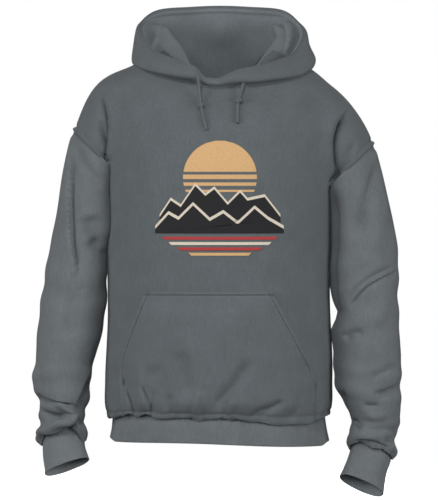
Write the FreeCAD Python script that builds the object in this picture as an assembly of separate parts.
"""Hooded pullover sweatshirt, size M, filled out as when it is worn: arms hanging, hood down and open.

Frame: +Z up, the chest faces -Y, the wearer's left is +X, and the origin is the middle of the neck opening,
level with the points where the shoulders meet the neck. Millimetres.

Every cut piece of cloth is a thin shell of its own: front, back, two sleeves, two cuffs, waistband, pouch pocket,
and a hood of an outer layer and a lining, each in two halves. They meet at their seams. A body or a sleeve is a loft
through a short table of ovals, and an oval is four tangent arcs. Growing every oval of a table by a distance gives
the next layer out, so all the layers come from the same tables.
"""

import math
import os

import FreeCAD
import Part
from FreeCAD import Vector

# ---- cloth ----
CLOTH = 2.6  # one layer of brushed fleece
RIB = 3.2  # the ribbed knit of cuffs and waistband
LAYER_GAP = 0.3  # between two layers that lie on each other
ROUNDNESS = 0.85  # end radius of an oval over its half depth

# ---- body ----
BODY_LENGTH = 655.0  # from the neck points down to the waistband seam
CHEST_HALF_WIDTH = 203.0
CHEST_HALF_DEPTH = 139.0
HEM_HALF_WIDTH = 207.0
SHOULDER_DROP = 65.0  # from the neck points down to the ends of the shoulders
NECK_HALF_WIDTH = 95.0
WAISTBAND_HEIGHT = 56.0
WAISTBAND_TUCK = 8.0  # how far the body's hem rolls in to the waistband
SIDE_SEAM_Y = 4.0  # the plane of the side and shoulder seams

# ---- sleeves ----
RIGHT_SLEEVE_DROP = 699.0  # from the neck points down to the middle of the cuff seam
LEFT_SLEEVE_DROP = 722.0
SLEEVE_HALF_WIDTH = 57.0
SEAM_DROP = 141.0  # where the sleeve's seam crosses the outside of the arm
SEAM_OUT = 67.0  # the same place, out from the chest's side
SEAM_ANGLE = 45.0  # the seam's slope, down towards the armpit
CUFF_HALF_WIDTH = 38.0
CUFF_HALF_DEPTH = 31.0
CUFF_LENGTH = 62.0
SLEEVE_CLEARANCE = 1.5  # between the body and the sleeve that lies against it

# ---- hood ----
HOOD_HALF_WIDTH = 157.0  # at its widest, where it rolls out over the shoulders
RIM_HALF_WIDTH = 150.0
RIM_HALF_LENGTH = 127.0  # along the slope of the face opening
RIM_TILT = 30.8
RIM_CENTRE = Vector(0, 11.0, 14.5)
POUCH_HALF_WIDTH = 124.0  # of the hood's crown, which hangs down the back
POUCH_DROP = 160.0

# ---- pouch pocket ----
POCKET_HEIGHT = 221.0
POCKET_TOP_HALF = 113.0
POCKET_HALF = 172.0
POCKET_SIDE_SEAM = 88.0  # the sewn side below the slanted mouth
POCKET_FULLNESS = 12.0  # how far the pocket stands off the front
POCKET_SEAM = 2.6  # the sewn edge that closes the pocket

# ---- drawcord ----
CORD_DIAMETER = 6.0
KNOT_DIAMETER = 12.0
KNOT_LENGTH = 13.0

# Body ovals. Columns: height, half width, half depth, middle in y. The last row lies inside the neck.
BODY = [
    (-BODY_LENGTH, HEM_HALF_WIDTH - WAISTBAND_TUCK, 128.0, 0.0),
    (-BODY_LENGTH + 16.0, HEM_HALF_WIDTH, 135.0, 0.0),
    (-0.69 * BODY_LENGTH, CHEST_HALF_WIDTH - 3.0, CHEST_HALF_DEPTH + 1.0, 0.0),
    (-0.46 * BODY_LENGTH, CHEST_HALF_WIDTH, CHEST_HALF_DEPTH, 0.0),
    (-0.29 * BODY_LENGTH, CHEST_HALF_WIDTH + 5.0, CHEST_HALF_DEPTH - 9.0, 0.0),
    (-SHOULDER_DROP - 45.0, CHEST_HALF_WIDTH + 9.0, CHEST_HALF_DEPTH - 29.0, 2.0),
    (-SHOULDER_DROP, CHEST_HALF_WIDTH + 2.0, 90.0, 6.0),
    (-0.55 * SHOULDER_DROP, CHEST_HALF_WIDTH - 27.0, 76.0, 12.0),
    (0.0, NECK_HALF_WIDTH + 17.0, 60.0, 13.0),
    (14.0, NECK_HALF_WIDTH - 17.0, 40.0, 14.0),
]

# Arm ovals, out from the chest's side and down from the neck points, shared by both arms to the elbow.
# Columns: out, drop, y, tilt about y, half width, half depth.
UPPER_ARM = [
    (-91.0, 56.0, 8.0, 70.0, SLEEVE_HALF_WIDTH - 9.0, 62.0),
    (-23.0, 115.0, 8.0, 53.0, SLEEVE_HALF_WIDTH + 11.0, 72.0),
    (9.0, 165.0, 6.0, 34.0, SLEEVE_HALF_WIDTH + 4.0, 74.0),
    (28.0, 225.0, 5.0, 15.0, SLEEVE_HALF_WIDTH - 1.0, 72.0),
    (43.0, 290.0, 4.0, 8.0, SLEEVE_HALF_WIDTH - 2.5, 70.0),
    (55.0, 360.0, 2.0, 4.0, SLEEVE_HALF_WIDTH - 2.0, 68.0),
    (61.0, 449.0, -2.0, 2.0, SLEEVE_HALF_WIDTH + 1.0, 65.0),
]
# Below the elbow the drop is counted up from the cuff seam, and each arm hangs in its own way.
RIGHT_FOREARM = [
    (71.0, 167.0, -8.0, 0.0, SLEEVE_HALF_WIDTH, 60.0),
    (82.0, 109.0, -14.0, 0.0, SLEEVE_HALF_WIDTH - 5.0, 54.0),
    (78.0, 49.0, -20.0, -2.0, SLEEVE_HALF_WIDTH - 14.0, 44.0),
]
LEFT_FOREARM = [
    (64.5, 190.0, -8.0, 0.0, SLEEVE_HALF_WIDTH + 3.0, 60.0),
    (68.0, 132.0, -14.0, 0.0, SLEEVE_HALF_WIDTH + 3.0, 56.0),
    (76.0, 64.0, -20.0, -4.0, SLEEVE_HALF_WIDTH - 13.0, 44.0),
]
# Where each cuff starts and ends. Columns: out, y, tilt about y at the seam; the same at the hand.
RIGHT_CUFF = [(78.0, -24.0, -6.0), (73.0, -40.0, -20.0)]
LEFT_CUFF = [(72.0, -26.0, -12.0), (57.0, -42.0, -24.0)]
CUFF_PITCH = 14.0  # the hand end faces forwards by this much

# Drawcord routes, from the hood's front edge down the chest: x, y, z. They clear the chest by half a knot.
RIGHT_CORD = [
    Vector(-36.0, -98.2, -47.0),
    Vector(-34.5, -100.0, -64.0),
    Vector(-32.5, -102.5, -81.0),
    Vector(-30.5, -109.0, -99.0),
    Vector(-25.5, -117.8, -120.0),
    Vector(-20.0, -123.5, -141.0),
]
LEFT_CORD = [
    Vector(46.5, -93.2, -54.5),
    Vector(43.3, -96.4, -66.0),
    Vector(40.0, -99.5, -77.0),
    Vector(36.5, -103.2, -88.0),
    Vector(34.5, -112.0, -108.5),
    Vector(35.5, -119.5, -129.0),
]
KNOT_PLACE = 3  # which of each route's points, counted from 0, the knot is centred on

FAR = 900.0  # half the size of the blocks that cut the cloth along its seams
OVERRUN = 20.0  # how far a cutting volume runs on past an open end


# ---- shapes ----
def plane_axes(tilt, pitch=0.0):
    """The width and depth directions of an oval that is tilted about Y, then pitched to lift its -Y side."""
    t, p = math.radians(tilt), math.radians(pitch)
    width = Vector(math.cos(t), 0, math.sin(t))
    flat = Vector(0, 1, 0)
    along = width.cross(flat)
    depth = flat * math.cos(p) - along * math.sin(p)
    return width, depth


def oval(centre, half_width, half_depth, width=Vector(1, 0, 0), depth=Vector(0, 1, 0)):
    """A closed wire of four tangent arcs: two ends of one radius, joined by two flatter sides."""
    b = min(half_width, half_depth)
    a = max(half_width, half_depth, 1.01 * b)
    end = max(ROUNDNESS * b, (2.41 * b - a) / 1.41)
    side = ((a - end) ** 2 + b * b - end * end) / (2 * (b - end))
    lean = math.atan2(a - end, side - b)
    x, y = side * math.sin(lean), side * math.cos(lean) - (side - b)
    if half_depth > half_width:
        x, y, a, b = y, x, b, a
    corners = [(x, -y), (a, 0), (x, y), (0, b), (-x, y), (-a, 0), (-x, -y), (0, -b)]
    p = [centre + width * u + depth * v for u, v in corners]
    arcs = [Part.Arc(p[i], p[i + 1], p[(i + 2) % 8]).toShape() for i in (0, 2, 4, 6)]
    return Part.Wire(arcs)


def solid_loft(wires):
    """A closed solid whose faces run straight from each wire to the next."""
    loft = Part.makeLoft(wires, True, True)
    return loft if loft.Volume > 0 else loft.reversed()


def mirrored(shape):
    return shape.mirror(Vector(0, 0, 0), Vector(1, 0, 0))


def half_space(point, normal):
    """A large block on the side of a plane that the normal points to."""
    block = Part.makeBox(2 * FAR, 2 * FAR, 2 * FAR, Vector(-FAR, -FAR, 0))
    block.Placement = FreeCAD.Placement(point, FreeCAD.Rotation(Vector(0, 0, 1), normal))
    return block


def arm_rows(forearm, cuff, drop):
    """All the ovals of one arm, shoulder to cuff seam. Columns: centre, tilt, pitch, half width, half depth."""
    rows = [(out, down, y, tilt, a, b) for out, down, y, tilt, a, b in UPPER_ARM]
    rows += [(out, drop - up, y, tilt, a, b) for out, up, y, tilt, a, b in forearm]
    out, y, tilt = cuff[0]
    rows.append((out, drop, y, tilt, CUFF_HALF_WIDTH, CUFF_HALF_DEPTH))
    return [
        (Vector(CHEST_HALF_WIDTH + out, y, -down), tilt, 0.0, a, b)
        for out, down, y, tilt, a, b in rows
    ]


def tube_volume(rows, grow, past_start=0.0, past_end=0.0):
    """What a tube of ovals encloses, grown all round; it can run straight on beyond either end."""
    wires = []
    for centre, tilt, pitch, a, b in rows:
        width, depth = plane_axes(tilt, pitch)
        wires.append(oval(centre, a + grow, b + grow, width, depth))
    for past, row, place in ((past_start, rows[0], 0), (-past_end, rows[-1], len(wires) + 1)):
        if past:
            centre, tilt, pitch, a, b = row
            width, depth = plane_axes(tilt, pitch)
            centre = centre + width.cross(depth) * past
            wires.insert(place, oval(centre, a + grow, b + grow, width, depth))
    return solid_loft(wires)


def body_volume(grow, past=0.0):
    """What the body encloses, grown all round; past makes it run straight on beyond the hem."""
    rows = [(Vector(0, y, z), 0.0, 0.0, a, b) for z, a, b, y in reversed(BODY)]
    return tube_volume(rows, grow, 0.0, past)


def cuff_rows(cuff, drop):
    """The ovals of a cuff, from its seam to the hand. Columns as in arm_rows."""
    (out0, y0, tilt0), (out1, y1, tilt1) = cuff
    seam = Vector(CHEST_HALF_WIDTH + out0, y0, -drop)
    hand = Vector(CHEST_HALF_WIDTH + out1, y1, -drop - CUFF_LENGTH)
    middle = (seam + hand) * 0.5 + Vector(0, 2.0, 0)
    return [
        (seam, tilt0, 0.0, CUFF_HALF_WIDTH, CUFF_HALF_DEPTH),
        (middle, (tilt0 + tilt1) / 2, CUFF_PITCH / 2, CUFF_HALF_WIDTH, CUFF_HALF_DEPTH - 2.0),
        (hand, tilt1, CUFF_PITCH, CUFF_HALF_WIDTH + 5.0, CUFF_HALF_DEPTH - 5.0),
    ]


def rim_axes():
    """The width and depth directions of the face opening."""
    t = math.radians(RIM_TILT)
    return Vector(1, 0, 0), Vector(0, math.cos(t), math.sin(t))


def tilted_ring(centre, half_width, half_length, tilt):
    t = math.radians(tilt)
    return oval(centre, half_width, half_length, Vector(1, 0, 0), Vector(0, math.cos(t), math.sin(t)))


def hood_volume(grow, lining):
    """What one layer of the hood encloses: the collar part round the neck and the crown that hangs behind.

    The outer layer rolls out over the shoulders before it rises to the rim; the lining drops straight to the neck."""
    width, slope = rim_axes()
    out = slope.cross(width) * -1
    neck = NECK_HALF_WIDTH + grow
    if lining:
        rows = [
            (Vector(0, -4.0, -60.0), neck, 78.0 + grow, 18.0),
            (Vector(0, -1.0, -2.0), neck + 4.0, 92.0 + grow, 31.0),
        ]
    else:
        rows = [
            (Vector(0, -3.0, -32.0), NECK_HALF_WIDTH + 9.0 + grow, 88.0 + grow, 23.0),
            (Vector(0, 5.0, -8.0), HOOD_HALF_WIDTH + grow, 112.0 + grow, 28.0),
        ]
    wires = [tilted_ring(*row) for row in rows]
    for lift in (0.0, OVERRUN):
        wires.append(
            oval(RIM_CENTRE + out * lift, RIM_HALF_WIDTH + grow, RIM_HALF_LENGTH + grow, width, slope)
        )
    collar = solid_loft(wires)
    # Crown ovals, level. Columns: height, half width, half depth, middle in y.
    crown = [
        (118.0, POUCH_HALF_WIDTH - 30.0, 46.0, 84.0),
        (45.0, POUCH_HALF_WIDTH, 54.0, 108.0),
        (-20.0, POUCH_HALF_WIDTH, 45.0, 140.0),
        (-0.5 * POUCH_DROP, POUCH_HALF_WIDTH - 12.0, 36.0, 149.0),
        (-0.82 * POUCH_DROP, POUCH_HALF_WIDTH - 38.0, 25.0, 154.0),
        (-POUCH_DROP, 48.0, 11.0, 154.0),
    ]
    crown_wires = [
        oval(Vector(0, y, z - (grow if z == -POUCH_DROP else 0.0)), a + grow, b + grow)
        for z, a, b, y in crown
    ]
    return collar.fuse(solid_loft(crown_wires))


def one_solid(shape):
    """The largest solid of a cut's result; slivers under a thousandth of it are dropped."""
    solids = sorted(shape.Solids, key=lambda s: s.Volume)
    kept = [s for s in solids if s.Volume > 1e-3 * solids[-1].Volume]
    return kept[0] if len(kept) == 1 else Part.makeCompound(kept)


def pocket_outline(inset, open_sides):
    """The pocket's outline as a block through the front. The slanted mouths stay open when open_sides is true."""
    bottom, top = -BODY_LENGTH, -BODY_LENGTH + POCKET_HEIGHT
    mouth = bottom + POCKET_SIDE_SEAM
    side, corner = POCKET_HALF - inset, POCKET_TOP_HALF - inset
    if open_sides:
        beyond = 3 * OVERRUN
        corner += beyond
        points = [
            (-side, bottom + inset), (-side, mouth), (-side - beyond, mouth), (-corner, top - inset),
            (corner, top - inset), (side + beyond, mouth), (side, mouth), (side, bottom + inset),
        ]  # fmt: skip
    else:
        points = [
            (-side, bottom), (-side, mouth), (-corner, top),
            (corner, top), (side, mouth), (side, bottom),
        ]  # fmt: skip
    wire = Part.makePolygon([Vector(x, 0, z) for x, z in points + points[:1]])
    return Part.Face(wire).extrude(Vector(0, -FAR, 0))


def rounded_path(points):
    """Straight runs joined by tangent arcs, each as large as its two runs allow."""
    edges, start = [], points[0]
    radii = []
    for before, corner, after in zip(points, points[1:], points[2:]):
        a, b = before - corner, after - corner
        turn = math.pi - a.getAngle(b)
        reach = 0.45 * min(a.Length, b.Length)
        radii.append(reach / math.tan(turn / 2))
        a.normalize()
        b.normalize()
        first, last = corner + a * reach, corner + b * reach
        inward = (a + b).normalize()
        middle = corner + inward * (radii[-1] / math.cos(turn / 2) - radii[-1])
        edges.append(Part.LineSegment(start, first).toShape())
        edges.append(Part.Arc(first, middle, last).toShape())
        start = last
    edges.append(Part.LineSegment(start, points[-1]).toShape())
    return Part.Wire(edges), radii


def cord_tube(points):
    """A round tube along the route."""
    path, radii = rounded_path(points)
    along = (points[1] - points[0]).normalize()
    ring = Part.Wire(Part.makeCircle(CORD_DIAMETER / 2, points[0], along))
    tube = path.makePipeShell([ring], True, False)
    length = path.Length
    print("cord", round(length, 1), "mm, radii", [round(r, 1) for r in radii],
          "volume share", round(tube.Volume / (math.pi * CORD_DIAMETER**2 / 4 * length), 4))  # fmt: skip
    return tube


# ---- the garment ----
def build():
    """All the pieces, by name."""
    pieces = {}
    body_out, body_in = body_volume(0.0), body_volume(-CLOTH, past=OVERRUN)
    seam_out = Vector(CHEST_HALF_WIDTH + SEAM_OUT, 0, -SEAM_DROP)
    lean = math.radians(SEAM_ANGLE)
    seam_normal = Vector(math.sin(lean), 0, -math.cos(lean))
    arms = {
        "right": (arm_rows(RIGHT_FOREARM, RIGHT_CUFF, RIGHT_SLEEVE_DROP), RIGHT_CUFF, RIGHT_SLEEVE_DROP),
        "left": (arm_rows(LEFT_FOREARM, LEFT_CUFF, LEFT_SLEEVE_DROP), LEFT_CUFF, LEFT_SLEEVE_DROP),
    }
    sleeve_side = half_space(seam_out, seam_normal)
    lining_in = hood_volume(-2 * CLOTH - LAYER_GAP, lining=True)
    # A sleeve lies flat against the body below the armpit, so the grown body is cut from both of its faces.
    beside = body_volume(SLEEVE_CLEARANCE)
    beside_in = body_volume(SLEEVE_CLEARANCE + CLOTH)

    whole = body_out
    hollows = [body_in]
    for side, (rows, cuff, drop) in arms.items():
        to_side = mirrored if side == "right" else (lambda shape: shape)
        arm_out, arm_in = tube_volume(rows, 0.0), tube_volume(rows, -CLOTH, 0.0, OVERRUN)
        sleeve = arm_out.common(sleeve_side).cut(beside).cut(arm_in.cut(beside_in))
        pieces["sleeve_" + side] = one_solid(to_side(sleeve))
        whole = whole.fuse(to_side(arm_out.cut(sleeve_side)))
        hollows.append(to_side(arm_in.cut(sleeve_side)))
        rows = cuff_rows(cuff, drop)
        pieces["cuff_" + side] = one_solid(
            to_side(tube_volume(rows, 0.0).cut(tube_volume(rows, -RIB, OVERRUN, OVERRUN)))
        )

    shell = whole.cut(hollows[0].fuse(hollows[1:])).cut(lining_in)
    side_seam = half_space(Vector(0, SIDE_SEAM_Y, 0), Vector(0, 1, 0))
    pieces["front_panel"] = one_solid(shell.cut(side_seam))
    pieces["back_panel"] = one_solid(shell.common(side_seam))

    # Waistband: a ring of rib below the hem, a little fuller at its free edge. Columns: share down, fullness.
    z, a, b, y = BODY[0]
    rows = [
        (Vector(0, y, z - share * WAISTBAND_HEIGHT), 0.0, 0.0, a + fuller, b + fuller)
        for share, fuller in ((0.0, 0.0), (0.5, -1.5), (1.0, 1.0))
    ]
    band = tube_volume(rows, 0.0).cut(tube_volume(rows, -RIB, OVERRUN, OVERRUN))
    pieces["waistband"] = one_solid(band)

    # Pouch pocket: a shallow tray of cloth, sewn along its top, bottom and lower sides.
    tray = body_volume(POCKET_FULLNESS + CLOTH).common(pocket_outline(0.0, False))
    room = body_volume(POCKET_FULLNESS).common(pocket_outline(POCKET_SEAM, True))
    pieces["pouch_pocket"] = one_solid(tray.cut(room).cut(body_out))

    # Hood: two layers, each cut open along the rim and split at the centre seam.
    width, slope = rim_axes()
    above_rim = half_space(RIM_CENTRE, slope.cross(width) * -1)
    left_half = half_space(Vector(0, 0, 0), Vector(1, 0, 0))
    layers = {
        "hood_outer": (hood_volume(0.0, False), hood_volume(-CLOTH, False)),
        "hood_lining": (hood_volume(-CLOTH - LAYER_GAP, True), lining_in),
    }
    for name, (outside, inside) in layers.items():
        cloth = outside.cut(inside).cut(above_rim).cut(whole)
        pieces[name + "_left"] = one_solid(cloth.common(left_half))
        pieces[name + "_right"] = one_solid(cloth.cut(left_half))

    # Drawcord: its two free ends come out of the hood's front edge and lie on the chest, each with a knot.
    for side, route in (("right", RIGHT_CORD), ("left", LEFT_CORD)):
        tube = cord_tube(route)
        knot = Part.makeSphere(KNOT_DIAMETER / 2)
        stretch = FreeCAD.Matrix()
        stretch.scale(1, 1, KNOT_LENGTH / KNOT_DIAMETER)
        knot = knot.transformGeometry(stretch)
        along = route[KNOT_PLACE + 1] - route[KNOT_PLACE - 1]
        knot.Placement = FreeCAD.Placement(route[KNOT_PLACE], FreeCAD.Rotation(Vector(0, 0, 1), along))
        pieces["drawcord_" + side] = one_solid(tube)
        pieces["cord_knot_" + side] = one_solid(knot.cut(tube))
    return pieces


def main():
    os.makedirs("parts", exist_ok=True)
    for name, shape in build().items():
        if not shape.isValid():
            print("not valid:", name)
        shape.exportStep(os.path.join("parts", name + ".step"))
        box = shape.BoundBox
        print(f"{name}: {len(shape.Solids)} solid, {shape.Volume / 1000:.1f} cm3, "
              f"x {box.XMin:.0f}..{box.XMax:.0f} y {box.YMin:.0f}..{box.YMax:.0f} z {box.ZMin:.0f}..{box.ZMax:.0f}")  # fmt: skip


main()
